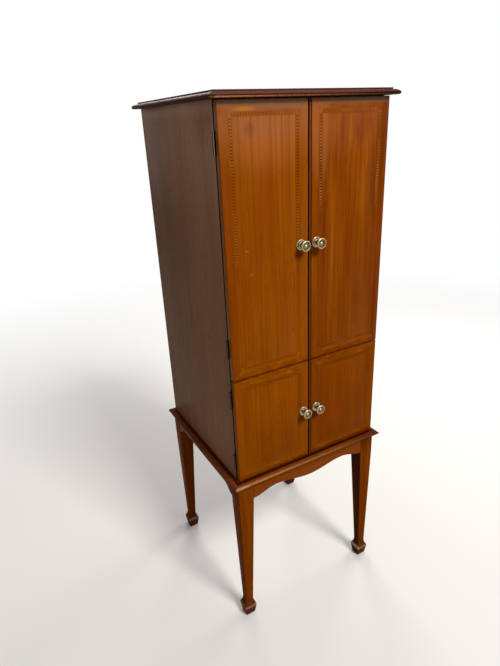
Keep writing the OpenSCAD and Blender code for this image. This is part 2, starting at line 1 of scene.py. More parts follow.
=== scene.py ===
# %% [markdown]
# # A gramophone cabinet
#
# A tall, narrow mahogany cabinet stands on its own four-legged stand. Two long doors close the
# upper part and two short ones the lower part. Each door has a border of veneer, a banding of dark
# and light dashes and a brass knob. The construction comes as a fixed frame of exact solids, and
# this lesson gives them their look: soft edges, grain, polish, banding, screws and worn brass.
# The frame is loaded first. The looks may not make it larger.

# %% Frame
import json
import math

import bmesh
import bpy
from mathutils import Matrix, Vector

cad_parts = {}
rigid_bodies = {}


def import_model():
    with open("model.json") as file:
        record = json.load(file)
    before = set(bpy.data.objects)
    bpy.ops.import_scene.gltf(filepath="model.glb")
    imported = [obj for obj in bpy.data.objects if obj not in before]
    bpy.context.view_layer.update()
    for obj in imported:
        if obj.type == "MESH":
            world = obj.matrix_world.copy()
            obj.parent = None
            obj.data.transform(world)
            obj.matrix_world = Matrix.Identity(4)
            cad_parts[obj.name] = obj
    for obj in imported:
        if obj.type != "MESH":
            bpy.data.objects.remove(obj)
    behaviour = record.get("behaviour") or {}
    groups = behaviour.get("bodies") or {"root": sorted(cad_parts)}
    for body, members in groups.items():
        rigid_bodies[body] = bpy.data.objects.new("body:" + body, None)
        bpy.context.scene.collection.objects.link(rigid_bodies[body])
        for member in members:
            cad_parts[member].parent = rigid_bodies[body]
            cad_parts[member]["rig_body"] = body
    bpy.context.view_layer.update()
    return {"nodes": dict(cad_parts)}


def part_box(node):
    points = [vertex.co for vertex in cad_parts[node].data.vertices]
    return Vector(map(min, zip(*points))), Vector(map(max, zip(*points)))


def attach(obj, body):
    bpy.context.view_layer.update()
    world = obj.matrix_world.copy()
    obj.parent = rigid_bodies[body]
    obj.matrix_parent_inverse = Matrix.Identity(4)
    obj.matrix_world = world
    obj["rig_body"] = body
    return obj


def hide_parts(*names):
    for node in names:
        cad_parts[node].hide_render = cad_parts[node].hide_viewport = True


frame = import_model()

MM = 0.001

# %% [markdown]
# The camera stands where the photograph was taken: to the left of the cabinet, a little above its
# middle, and looking down. Its place and turn are written as a photographer would say them. The
# lens is given in pixels of the picture, so it is turned into millimetres of a 36 mm sensor.

# %% Camera
IMAGE_H = 666
FOCAL_PIXELS = 500.7
EYE = Vector((-0.5663, -0.9577, 1.1090))
YAW, PITCH, ROLL = (math.radians(angle) for angle in (-28.646, 22.706, -2.681))
SENSOR = 36.0

level = math.cos(PITCH)
backward = Vector((math.sin(YAW) * level, -math.cos(YAW) * level, math.sin(PITCH)))
level_right = Vector((0, 0, 1)).cross(backward).normalized()
level_up = backward.cross(level_right)
right = math.cos(ROLL) * level_right + math.sin(ROLL) * level_up
up = math.cos(ROLL) * level_up - math.sin(ROLL) * level_right


def add_object(name, data):
    """A new object in the scene, at the origin, unturned and unscaled."""
    made = bpy.data.objects.new(name, data)
    bpy.context.scene.collection.objects.link(made)
    return made


camera_data = bpy.data.cameras.new("camera")
camera_data.sensor_width = SENSOR
camera_data.lens = SENSOR * FOCAL_PIXELS / IMAGE_H
camera = add_object("camera", camera_data)
camera.matrix_world = Matrix.Translation(EYE) @ Matrix((right, up, backward)).transposed().to_4x4()
bpy.context.scene.camera = camera
bpy.context.scene.view_settings.view_transform = "Standard"
print(f"lens {camera_data.lens:.2f} mm, eye at {EYE}")

# %% [markdown]
# Maths in nodes gets long when every node is added by hand. Here one small class holds a socket,
# and Python's own operators add the Math nodes, so that `1 - mask * 0.4` reads like the formula it
# is. Most masks are a distance put through `rise`, a smooth step. A second class holds the tree
# itself, and makes any node from its type, its settings and its inputs.

# %% Expressions in nodes
class Field:
    """A value in a tree of nodes. Its operators add Math nodes."""

    def __init__(self, tree, socket):
        self.tree = tree
        self.socket = socket

    def maths(self, operation, *values):
        return self.tree.node("ShaderNodeMath", {"operation": operation}, dict(enumerate(values)))

    def __add__(self, other):
        return self.maths("ADD", self, other)

    def __mul__(self, other):
        return self.maths("MULTIPLY", self, other)

    def __sub__(self, other):
        return self.maths("SUBTRACT", self, other)

    def __rsub__(self, other):
        return self.maths("SUBTRACT", other, self)

    def __truediv__(self, other):
        return self.maths("DIVIDE", self, other)

    def __mod__(self, other):
        return self.maths("MODULO", self, other)

    __radd__ = __add__
    __rmul__ = __mul__

    def least(self, other):
        return self.maths("MINIMUM", self, other)

    def most(self, other):
        return self.maths("MAXIMUM", self, other)

    def size(self):
        return self.maths("ABSOLUTE", self)

    def near(self, value, half, soft):
        """1 within half of a value, and 0 farther off than half + soft."""
        return (self - value).size().rise(half + soft, half)

    def power(self, other):
        return self.maths("POWER", self, other)

    def rise(self, low, high):
        """0 below low, 1 above high, and a smooth step between them. low may be above high."""
        settings = {"interpolation_type": "SMOOTHSTEP"}
        return self.tree.node("ShaderNodeMapRange", settings, {0: self, 1: low, 2: high})


class Tree:
    """A tree of nodes."""

    def __init__(self, tree):
        self.nodes = tree.nodes
        self.links = tree.links

    def node(self, kind, settings=None, inputs=None, output=0):
        made = self.nodes.new(kind)
        for key, value in (settings or {}).items():
            setattr(made, key, value)
        for key, value in (inputs or {}).items():
            self.join(made.inputs[key], value)
        return Field(self, made.outputs[output])

    def join(self, socket, value):
        if isinstance(value, Field):
            self.links.new(value.socket, socket)
        else:
            socket.default_value = value

    def vector(self, x, y, z):
        return self.node("ShaderNodeCombineXYZ", None, {0: x, 1: y, 2: z})


print("a field can:", [name for name in vars(Field) if name.isalpha()])

# %% [markdown]
# A finish is what a polisher or a metal worker leaves on one kind of surface. Its class is a tree
# that ends in a shader, with the few nodes that every finish here needs. Colours are named as a
# screen shows them, since that is how they are read off a thing, and turned into light here.

# %% Finishes
class Finish(Tree):
    """A material. What varies is joined to its shader, and what doesn't is set on it."""

    def __init__(self, name, **shader_values):
        self.material = bpy.data.materials.new(name)
        self.material.use_nodes = True
        super().__init__(self.material.node_tree)
        self.shader = self.nodes["Principled BSDF"]
        for socket, value in shader_values.items():
            self.shader.inputs[socket.replace("_", " ")].default_value = value
        place = self.node("ShaderNodeTexCoord", output="Object")
        self.place = place
        self.x, self.y, self.z = self.split(place)

    def split(self, vector):
        return (self.node("ShaderNodeSeparateXYZ", None, {0: vector}, axis) for axis in "XYZ")

    def facing(self):
        """Which way the surface points, as three numbers from -1 to 1."""
        return self.split(self.node("ShaderNodeTexCoord", output="Normal"))

    def noise(self, vector, scale, detail=2.0, roughness=0.5):
        inputs = {"Vector": vector, "Scale": scale, "Detail": detail, "Roughness": roughness}
        return self.node("ShaderNodeTexNoise", None, inputs)

    def ramp(self, factor, stops):
        """A colour that follows a factor. The node starts with two stops, and gets the rest."""
        made = self.node("ShaderNodeValToRGB", None, {0: factor})
        elements = made.socket.node.color_ramp.elements
        for _ in stops[2:]:
            elements.new(1.0)
        for element, (position, colour) in zip(elements, stops):
            element.position = position
            element.color = colour
        return made

    def blend(self, factor, below, above):
        inputs = {0: factor, 6: below, 7: above}
        return self.node("ShaderNodeMix", {"data_type": "RGBA"}, inputs, output=2)

    def surface(self, colour, roughness=None, height=None, relief=1 * MM):
        """Joins the fields to the shader. relief is the depth in metres of height 0 to 1."""
        self.join(self.shader.inputs["Base Color"], colour)
        if roughness is not None:
            self.join(self.shader.inputs["Roughness"], roughness)
        if height is not None:
            normal = self.node("ShaderNodeBump", None, {"Height": height, "Distance": relief})
            self.join(self.shader.inputs["Normal"], normal)
        return self.material


def paint(red, green, blue):
    """A colour named as it looks on a screen, 0 to 255, as the shader's linear values."""
    def linear(value):
        share = value / 255
        return share / 12.92 if share <= 0.04045 else ((share + 0.055) / 1.055) ** 2.4
    return (linear(red), linear(green), linear(blue), 1.0)


print("half of 255 on a screen is", round(paint(127.5, 0, 0)[0], 3), "of the light")

# %% [markdown]
# Polished mahogany has three scales of detail. A slow figure makes whole stripes redder or paler,
# streaks a few millimetres wide follow the grain, and fine pores show as short dark dashes. All
# are noise stretched along the grain. The coordinates are the object's own, in metres, so the
# grain has its real size, and each board is cut from another place of the same endless wood.

# %% Mahogany
GRAIN_AXES = {"x": "yzx", "y": "xzy", "z": "xyz"}
FIGURE_STRETCH, STREAK_STRETCH, PORE_STRETCH = 0.10, 0.03, 0.05
FIGURE_SCALE, STREAK_SCALE, FIBRE_SCALE, PORE_SCALE = 24, 210, 700, 900
WANDER = 4 * MM
TONE_CONTRAST = 2.2
PORE_SHADE = 0.35


def grain(wood, along):
    """Coordinates across, through and along the grain, with a slow wander of its lines."""
    across, through, length = (getattr(wood, axis) for axis in GRAIN_AXES[along])
    slow = wood.noise(wood.vector(across, through, length * 0.35), 6.0) - 0.5
    return across + slow * WANDER, through, length


def figure(wood, along, strength):
    """Tone of the wood from 0, dark, to 1, light, and its pores from 0 to 1."""
    across, through, length = grain(wood, along)

    def stretched(stretch, scale, detail, roughness):
        return wood.noise(wood.vector(across, through, length * stretch), scale, detail, roughness)

    slow = stretched(FIGURE_STRETCH, FIGURE_SCALE, 3.0, 0.55)
    streaks = stretched(STREAK_STRETCH, STREAK_SCALE, 3.0, 0.6)
    fibre = stretched(STREAK_STRETCH, FIBRE_SCALE, 2.0, 0.6)
    pore = stretched(PORE_STRETCH, PORE_SCALE, 2.0, 0.5)
    tone = slow * 0.5 + streaks * 0.36 + fibre * 0.14
    return (tone - 0.5) * (TONE_CONTRAST * strength) + 0.5, pore.rise(0.58, 0.70)


def wood_colour(wood, tone, pore, shades, pore_depth=0.45):
    """Colour of bare wood from its tone and pores. shades are its dark, middle and light."""
    dark, middle, light = shades
    colour = wood.ramp(tone, [(0.12, dark), (0.5, middle), (0.9, light)])
    pore_colour = tuple(c * PORE_SHADE for c in dark[:3]) + (1.0,)
    return wood.blend(pore * pore_depth, colour, pore_colour)


def polished(wood, colour, pore, gloss, relief=0.6 * MM):
    """Old French polish: handling marks, open pores and a slow wave. gloss is its roughness."""
    handling = wood.noise(wood.place, 9.0, 3.0, 0.6)
    wave = wood.noise(wood.place, 14.0, 1.0)
    roughness = handling * 0.16 + (gloss - 0.08) + pore * 0.08
    return wood.surface(colour, roughness, (1 - pore) * 0.06 + wave * 0.94, relief)


def wood_finish(name, along, shades, strength, gloss, shine):
    wood = Finish(name, Specular_IOR_Level=shine)
    tone, pore = figure(wood, along, strength)
    return polished(wood, wood_colour(wood, tone, pore, shades), pore, gloss)


STAND = (paint(90, 38, 0), paint(118, 55, 0), paint(140, 72, 8))
APRON = (paint(94, 42, 2), paint(124, 60, 6), paint(146, 78, 14))
SIDE_APRON = (paint(80, 38, 2), paint(102, 54, 8), paint(122, 70, 18))
INSIDE = (paint(112, 70, 40), paint(146, 98, 58), paint(170, 122, 80))
PLAIN_BACK = (paint(96, 58, 32), paint(128, 82, 48), paint(150, 102, 64))
# Near-black painted shade for the edges that lie in the gaps beside the doors.
GAP_SHADE = paint(38, 8, 2)

apron_long = wood_finish("apron_mahogany_across", "x", APRON, 0.8, 0.36, 0.02)
apron_deep = wood_finish("apron_mahogany_deep", "y", SIDE_APRON, 0.8, 0.36, 0.02)
inside_wood = wood_finish("inside_wood", "x", INSIDE, 0.9, 0.62, 0.2)
back_wood = wood_finish("back_wood", "z", PLAIN_BACK, 0.9, 0.6, 0.2)
print("woods:", [material.name for material in bpy.data.materials])

# %% [markdown]
# The top and the rim of the stand end in a rounded nose with a small square step behind it. A
# painted highlight, broken into patches like wear, runs along the nose and the lower left corner,
# strongest towards the left end. Painted shadow lines lie at the foot of the step, above the
# highlight, under the nose at the left end and along the side steps, and painted shade darkens
# the lower nose at the side ends of the top. The ledge behind the step and the right end of the
# front are darker. The masks ask how far a point lies from the moulding's outer edge, and how
# high. The top and the rim reach equally far, so the top's box gives that edge for both.

# %% Mouldings
RIM_FRONT = (paint(86, 38, 6), paint(118, 61, 12), paint(144, 80, 26))
RIM_SIDE = (paint(82, 34, 6), paint(114, 56, 16), paint(144, 82, 34))
TOP = (paint(66, 32, 20), paint(92, 51, 36), paint(112, 66, 48))
NOSE_REACH = 11 * MM
NO_LEDGE = 400 * MM
LEFT_END, RIGHT_END = -190 * MM, 190 * MM
# Dark ledge colours, the first also a painted shadow under the nose; a painted shadow line and a
# darker end; two painted highlights, patchy like wear, the second also a painted reflection.
LEDGE_DARK_AND_SHADOW, RED_LEDGE_DARK = paint(56, 10, 0), paint(92, 26, 6)
SHADOW_LINE, DARK_END = paint(34, 8, 2), paint(54, 28, 14)
WORN_NOSE_HIGHLIGHT, PAINTED_PALE_LIGHT = paint(214, 152, 100), paint(226, 196, 180)
outer_low, outer_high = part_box("top")


def moulding_wood(name, along, node, shades, ledge, highlight_at, spread, rubbed_highlight, shaded_sides):
    """Wood of a moulding.

    ledge says how far in the dark ledge begins, and its colour. A painted highlight, in patches
    like wear, lies at the height given next. It fades over spread and is as strong as the argument
    after spread, which also sets the painted shadow line above it. The last argument paints shade
    on the lower nose at the side ends.
    """
    low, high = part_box(node)
    thick = high.z - low.z
    wood = Finish(name, Specular_IOR_Level=0.02)
    from_side = (wood.x - outer_low.x).least(outer_high.x - wood.x)
    from_front = wood.y - outer_low.y
    from_edge = from_front.least(outer_high.y - wood.y).least(from_side)
    height = wood.z - low.z
    left_end = wood.x.rise(-150 * MM, LEFT_END)
    worn_highlight = wood.noise(wood.place, 230, 3.0, 0.6).rise(0.34, 0.6) * 0.6 + 0.4

    tone, pore = figure(wood, along, 0.9)
    specks = wood.noise(wood.place, 420, 2.0, 0.6).rise(0.44, 0.62)
    colour = wood.blend(specks * 0.4, wood_colour(wood, tone, pore, shades), shades[0])

    # Painted highlight along the nose, patchy like wear, paler and stronger towards the left end.
    nose = height.near(highlight_at, 0.7 * MM, spread) * from_front.rise(5 * MM, 4 * MM)
    nose = nose * worn_highlight * (wood.x.rise(130 * MM, -150 * MM) * 0.8 + 0.2)
    colour = wood.blend(nose * rubbed_highlight, colour, wood.blend(left_end, WORN_NOSE_HIGHLIGHT, PAINTED_PALE_LIGHT))
    # Painted highlight on the lower front edge at the left end.
    corner = height.rise(3.5 * MM, 1.5 * MM) * from_front.rise(3 * MM, 1 * MM) * left_end
    colour = wood.blend(corner * worn_highlight, colour, WORN_NOSE_HIGHLIGHT)

    # Darker towards the right end of the front, and painted shade on the lower nose at the side
    # ends.
    right_end = wood.x.rise(60 * MM, RIGHT_END) * from_front.rise(12 * MM, 8 * MM)
    side_nose = from_side.rise(10 * MM, 6 * MM) * height.rise(thick * 0.45, thick * 0.2)
    colour = wood.blend((right_end * 0.75).most(side_nose * shaded_sides), colour, DARK_END)
    # The ledge behind the step is dark.
    ledge_from, ledge_shade = ledge
    on_ledge = from_edge.rise(ledge_from, ledge_from + 1 * MM) * height.rise(4 * MM, 6 * MM)
    colour = wood.blend(on_ledge, colour, ledge_shade)
    # Painted shadow under the nose at the left end.
    foot = height.rise(highlight_at - 3 * MM, highlight_at - 4.4 * MM)
    foot = foot * wood.x.rise(LEFT_END, -170 * MM)
    colour = wood.blend(foot * 0.7, colour, LEDGE_DARK_AND_SHADOW)

    # Painted shadow lines at the foot of the step, above the highlight and along the side steps.
    at_step = from_edge.near(NOSE_REACH, 1.2 * MM, 0.8 * MM)
    step_foot = height.near(thick - 2.9 * MM, 0.3 * MM, 0.5 * MM) * at_step
    over_nose = height.near(highlight_at + 2.2 * MM, 0.5 * MM, 0.8 * MM)
    over_nose = over_nose * from_edge.rise(3 * MM, 2 * MM) * rubbed_highlight
    at_side = from_side.rise(NOSE_REACH + 2 * MM, NOSE_REACH) * height.rise(thick - 3 * MM, thick)
    colour = wood.blend(step_foot.most(over_nose).most(at_side), colour, SHADOW_LINE)
    return polished(wood, colour, pore, 0.42, 0.4 * MM)


rim_long = moulding_wood(
    "rim_mahogany_across", "x", "rim_front", RIM_FRONT, (9.5 * MM, LEDGE_DARK_AND_SHADOW),
    highlight_at=5.4 * MM, spread=2 * MM, rubbed_highlight=0.4, shaded_sides=0.0,
)
rim_deep = moulding_wood(
    "rim_mahogany_deep", "y", "rim_front", RIM_SIDE, (8.4 * MM, RED_LEDGE_DARK),
    highlight_at=6 * MM, spread=1 * MM, rubbed_highlight=0.2, shaded_sides=0.0,
)
top_wood = moulding_wood(
    "top_mahogany", "x", "top", TOP, (NO_LEDGE, LEDGE_DARK_AND_SHADOW),
    highlight_at=1.4 * MM, spread=0.9 * MM, rubbed_highlight=0.9, shaded_sides=0.7,
)
print("mouldings:", rim_long.name, rim_deep.name, top_wood.name)

# %% [markdown]
# The side boards are stained a plain dark brown outside and left paler inside. Their front edges
# behind the doors get a near-black painted shade, which reads as a black line beside each door.
# The tone is painted lighter towards the top and darker towards the rear, as light and shade
# fall, and under the overhang of the top the left board gets a pale painted reflection of a wall.
# All of this is found from the board's own box and from the height.

# %% Side boards
SIDE = (paint(116, 83, 61), paint(145, 108, 83), paint(165, 129, 104))
SKIN = 0.5 * MM
GAP_SHADE_EDGE = 0.5 * MM
REFLECTION_FROM, REFLECTION_TO = 1.115, 1.145


def side_wood(node):
    low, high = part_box(node)
    is_left = low.x < 0
    wood = Finish("side_mahogany_" + node, Specular_IOR_Level=0.012)
    tone, pore = figure(wood, "z", 0.45)
    # Painted light and shade: the tone is lighter towards the top and darker towards the rear.
    top_light_rear_shade = wood.z.rise(0.92, 1.12) * 0.28 - wood.y.rise(-0.1, 0.16) * 0.4
    tone = tone + top_light_rear_shade
    inner, deeper = (high.x - SKIN, 0.2 * MM) if is_left else (low.x + SKIN, -0.2 * MM)
    inside = wood.x.rise(inner, inner + deeper)
    # Painted shade: a black strip along the front edge, in the gap beside the door.
    gap_shadow = wood.y.rise(low.y + GAP_SHADE_EDGE + 0.8 * MM, low.y + GAP_SHADE_EDGE) * (1 - inside)
    # Painted reflection: the left board turns pale under the overhang of the top.
    wall_reflection = wood.z.rise(REFLECTION_FROM, REFLECTION_TO) * (0.4 if is_left else 0.05)
    outside = wood.blend(wall_reflection, wood_colour(wood, tone, pore, SIDE), PAINTED_PALE_LIGHT)
    colour = wood.blend(inside, outside, wood_colour(wood, tone, pore, INSIDE))
    return polished(wood, wood.blend(gap_shadow, colour, GAP_SHADE), pore, 0.4)


side_boards = {node: side_wood(node) for node in ("side_left", "side_right")}
print("side boards:", list(side_boards))

# %% [markdown]
# A spade foot stands out past the ankle, so every shoe and broom touches its ridge first. The
# polish there has gone, and pale bare wood shows in patches, which also paint a highlight on the
# ridge, stronger on the front legs. Painted shade darkens the faces that look in under the
# cabinet and the tops of the legs under the rim. The masks ask how high a point lies, which way
# it faces and how far it stands from the middle of its leg, which the leg's box gives.

# %% Legs
RIDGE = 26.5 * MM
FOOT_HALF = 15.3 * MM
FOOT_IN = 13.6 * MM
ANKLE = 47 * MM
LEG_SHADE, DARK_FOOT, RED_FOOT = paint(44, 14, 0), paint(76, 44, 24), paint(88, 34, 16)
RIDGE_WEAR_HIGHLIGHT = paint(184, 158, 138)


def leg_wood(node):
    low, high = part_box(node)
    wood = Finish("leg_mahogany_" + node, Specular_IOR_Level=0.006)
    tone, pore = figure(wood, "z", 0.8)
    colour = wood_colour(wood, tone, pore, STAND)
    outer_x, outer_y = (a if a < 0 else b for a, b in ((low.x, high.x), (low.y, high.y)))
    is_front = outer_y < 0
    axis_x, axis_y = (outer - math.copysign(FOOT_IN, outer) for outer in (outer_x, outer_y))
    from_axis = (wood.x - axis_x).size().most((wood.y - axis_y).size())
    # Painted shade on the faces that look in under the cabinet.
    facing_x, facing_y, _ = wood.facing()
    inward = (facing_x * math.copysign(1, -outer_x)).most(facing_y * math.copysign(1, -outer_y))
    # Painted shadow at the top of the leg, under the rim, strongest on the front right leg.
    under_rim = wood.z.rise(high.z - 60 * MM, high.z - 10 * MM)
    under_rim = under_rim * (0.45 if is_front and outer_x > 0 else 0.1)
    colour = wood.blend(under_rim, colour, LEG_SHADE)
    colour = wood.blend(inward.rise(0.4, 0.8) * (0.6 if is_front else 0.22), colour, LEG_SHADE)
    chips = wood.noise(wood.place, 240, 3.0, 0.6).rise(0.36, 0.56)
    below_ankle = wood.z.rise(ANKLE + 8 * MM, ANKLE - 6 * MM)
    colour = wood.blend(below_ankle * (0.85 - chips * 0.3), colour, DARK_FOOT)
    colour = wood.blend(wood.z.rise(RIDGE - 2 * MM, 4 * MM) * 0.7, colour, RED_FOOT)
    # Bare wood on the ridge, also a painted highlight, strongest on the front legs.
    ridge = wood.z.near(RIDGE, 3.4 * MM, 2.5 * MM) * from_axis.rise(FOOT_HALF - 3.4 * MM, FOOT_HALF)
    ridge = ridge * (chips * 0.6 + 0.35) * (1.0 if is_front else 0.35)
    colour = wood.blend(ridge, colour, RIDGE_WEAR_HIGHLIGHT)
    return polished(wood, colour, pore, 0.36)


LEGS = [f"leg_{end}_{hand}" for end in ("front", "back") for hand in ("left", "right")]
legs = {node: leg_wood(node) for node in LEGS}
print("legs:", list(legs))

# %% [markdown]
# The solids come with knife-sharp edges, and real boards never have those: a cabinet maker takes
# the edge off with one stroke of sandpaper, and that thin rounding is what catches the light. A
# copy of each board is merged, its flat faces are joined, and only its long outer edges are
# bevelled. The holes inside keep their form, since the screws that fill them hide their rims.

# %% Boards with soft edges
SHARP = math.radians(30)
FLAT = 0.002
MERGE = 0.002 * MM
SAME_POINT = 0.0003 * MM


def stand_in(piece, node):
    """Puts a new mesh in the place of a CAD piece."""
    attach(piece, frame["nodes"][node]["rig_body"])
    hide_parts(node)


def is_outer(edge, shortest):
    """Whether an edge is sharp, stands out and is long enough to be bevelled."""
    if not (edge.is_manifold and edge.is_convex):
        return False
    return edge.calc_face_angle() > SHARP and edge.calc_length() > shortest


def softened(node, material, radius, shortest=2 * MM):
    """A copy of a CAD piece with its long convex edges rounded, standing for that piece."""
    made = bmesh.new()
    made.from_mesh(frame["nodes"][node].data)
    bmesh.ops.remove_doubles(made, verts=made.verts, dist=MERGE)
    if radius:
        bmesh.ops.dissolve_limit(made, angle_limit=FLAT, verts=made.verts, edges=made.edges)
        bmesh.ops.bevel(
            made, geom=[edge for edge in made.edges if is_outer(edge, shortest)],
            affect="EDGES", offset=radius, segments=2, profile=0.5, clamp_overlap=True,
        )
        bmesh.ops.remove_doubles(made, verts=made.verts, dist=SAME_POINT)
        bmesh.ops.dissolve_degenerate(made, edges=made.edges, dist=SAME_POINT)
        bmesh.ops.triangulate(made, faces=[face for face in made.faces if len(face.verts) > 4])
    for face in made.faces:
        face.smooth = True
    for edge in made.edges:
        edge.smooth = edge.is_manifold and edge.calc_face_angle() < SHARP
    mesh = bpy.data.meshes.new(node + "_soft")
    made.to_mesh(mesh)
    made.free()
    mesh.materials.append(material)
    piece = add_object(node + "_soft", mesh)
    stand_in(piece, node)
    return piece


boards = {
    "back_panel": (back_wood, 0.4), "bottom_board": (inside_wood, 0.5),
    "division_board": (inside_wood, 0.5), "shelf": (inside_wood, 0.6), "top": (top_wood, 0.35),
    "rim_front": (rim_long, 0.3), "rim_back": (rim_long, 0.3),
    "rim_left": (rim_deep, 0.3), "rim_right": (rim_deep, 0.3),
    "apron_front": (apron_long, 0.8), "apron_back": (apron_long, 0.8),
    "apron_left": (apron_deep, 0.8), "apron_right": (apron_deep, 0.8),
    "fixing_block_left": (inside_wood, 0.8), "fixing_block_right": (inside_wood, 0.8),
}
boards.update({node: (material, 0.5) for node, material in side_boards.items()})
boards.update({node: (material, 0.9) for node, material in legs.items()})
for node, (material, radius) in boards.items():
    moulded = material in (rim_long, rim_deep, top_wood)
    piece = softened(node, material, radius * MM, shortest=(100 if moulded else 2) * MM)
    print(f"{piece.name}: {len(piece.data.polygons)} faces")

# %% [markdown]
# Each door is veneered like a picture frame. The field in the middle has upright grain; round it
# runs a border whose grain follows each edge, mitred at the corners. The finish finds these
# regions from the distance to the door's edges, so one function serves all four doors. Grime and
# painted shade darken the face at the ends, and the doors are darker towards the bottom. A painted
# highlight, partly wear, runs along the meeting edge. The edges and the back are bare wood, but
# the end faces and the strips of edge deep in the gaps get painted shade.

# %% Door veneer
BORDER = 17 * MM
ROW_INSET = 22 * MM
JOINT = 0.25 * MM
FACE = 1.3 * MM
# How far back from the face the edges stay free of painted shade.
EDGE_BEFORE_SHADE = 9.6 * MM
EDGE_WOOD = (paint(104, 58, 10), paint(138, 84, 26), paint(160, 104, 44))
DOOR_BACK = (paint(102, 56, 22), paint(134, 82, 40), paint(158, 104, 60))
# The pinstripe and joint colours are the wood's own. The pale one paints a highlight, partly wear.
# Of the three dark ones below, the first is grime and painted shade, the second darkens the bottom
# and the third is painted shade.
PINSTRIPE, JOINT_LINE, WORN_EDGE_HIGHLIGHT = paint(112, 46, 2), paint(86, 34, 6), paint(176, 118, 84)
GRIME_AND_GAP_SHADE, DARKER_BOTTOM, END_FACE_SHADE = paint(84, 28, 0), paint(66, 16, 0), paint(84, 26, 0)


def streak(wood, x, z, wide, tall, lean=0.0):
    """A soft upright ellipse, 1 in its middle and 0 at its rim. Sizes are half widths, in mm."""
    across = (wood.x - wood.z * lean - (x - z * lean) * MM) / (wide * MM)
    upward = (wood.z - z * MM) / (tall * MM)
    return (across * across + upward * upward).rise(1.0, 0.0)


def door_veneer(door, shades, strength, stile, marks, stains):
    """Veneer of one door. stile says how much darker the border is at the hinges."""
    low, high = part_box("door_" + door)
    is_upper = door.startswith("upper")
    meeting, hinge_edge = sorted((low.x, high.x), key=abs)
    wood = Finish("door_mahogany_" + door, Specular_IOR_Level=0.03 if is_upper else 0.012)
    from_side = (wood.x - low.x).least(high.x - wood.x)
    from_end = (wood.z - low.z).least(high.z - wood.z)
    from_edge = from_side.least(from_end)
    from_meeting = (wood.x - meeting).size()
    face = wood.y.rise(low.y + FACE + 0.4 * MM, low.y + FACE)
    in_border = from_edge.rise(BORDER, BORDER - JOINT) * face
    in_end = (from_side - from_end).rise(-JOINT, JOINT) * in_border
    in_stile = (wood.x - hinge_edge).size().rise(BORDER, BORDER - JOINT) * (in_border - in_end)

    tone, pore = figure(wood, "z", strength)
    cross_tone, cross_pore = figure(wood, "x", 0.6)
    blotch = wood.noise(wood.vector(wood.x * 0.5, wood.y, wood.z), 90, 2.0, 0.5) - 0.5
    cross_tone = cross_tone + blotch * 0.9 - (0.08 if is_upper else -0.1)
    tone = tone * (1 - in_end) + cross_tone * in_end - in_stile * stile
    pore = pore * (1 - in_end) + cross_pore * in_end
    for amount, *place in marks:
        tone = tone + streak(wood, *place) * amount * (1 - in_border * 0.5)
    colour = wood_colour(wood, tone, pore, shades, 0.35)
    for shade, amount, *place in stains:
        colour = wood.blend(streak(wood, *place) * amount, colour, shade)
    pins = wood.noise(wood.vector(wood.x, wood.y, wood.z * 0.008), 300, 1.0).rise(0.5, 0.66)
    colour = wood.blend(pins * (1 - in_border) * 0.3, colour, PINSTRIPE)

    mitre = (from_side - from_end).size().rise(JOINT * 2, 0.0) * in_border
    lines = (from_edge - ROW_INSET).size().near(3.6 * MM, 0.15 * MM, 0.25 * MM)
    colour = wood.blend((mitre + lines).least(1.0) * 0.35, colour, JOINT_LINE)
    chips = wood.noise(wood.vector(wood.x, wood.y, wood.z * 0.2), 160, 3.0, 0.6).rise(0.38, 0.6)
    # Painted highlight along the meeting edge, partly wear.
    worn_highlight = from_meeting.rise(0.9 * MM, 0.5 * MM) * face * chips
    colour = wood.blend(worn_highlight * 0.5, colour, WORN_EDGE_HIGHLIGHT)
    # Grime and painted shade on the face near the ends.
    grime_shade_mask = from_end.rise(3.0 * MM, 0.8 * MM) * face
    colour = wood.blend(grime_shade_mask * (chips * 0.3 + 0.5), colour, GRIME_AND_GAP_SHADE)
    # Darker towards the bottom, more on the lower doors.
    low_end = wood.z.rise(low.z + 15 * MM, low.z) * (0.2 if is_upper else 0.7) * face
    colour = wood.blend(low_end * (0.25 + chips * 0.25 + 0.5 * in_end), colour, DARKER_BOTTOM)

    colour = wood.blend(1 - face, colour, wood_colour(wood, tone, pore, EDGE_WOOD))
    back = wood.y.rise(high.y - 0.5 * MM, high.y - 0.2 * MM)
    colour = wood.blend(back, colour, wood_colour(wood, tone, pore, DOOR_BACK))
    # Painted shade on the end faces.
    ends = from_end.rise(0.5 * MM, 0.3 * MM) * (1 - face)
    colour = wood.blend(ends * 0.9, colour, END_FACE_SHADE)
    # Near-black painted shade on the edges deep in the gaps and on the meeting end.
    behind = wood.y.rise(low.y + EDGE_BEFORE_SHADE, low.y + EDGE_BEFORE_SHADE + 1 * MM)
    behind = behind * from_edge.rise(2 * MM, 0.6 * MM)
    inner_end = from_meeting.rise(2 * MM, 1 * MM) * (1 - face)
    colour = wood.blend(behind.most(inner_end), colour, GAP_SHADE)
    return polished(wood, colour, pore, 0.36)


print("border", BORDER / MM, "mm wide, banding", ROW_INSET / MM, "mm from the edge")
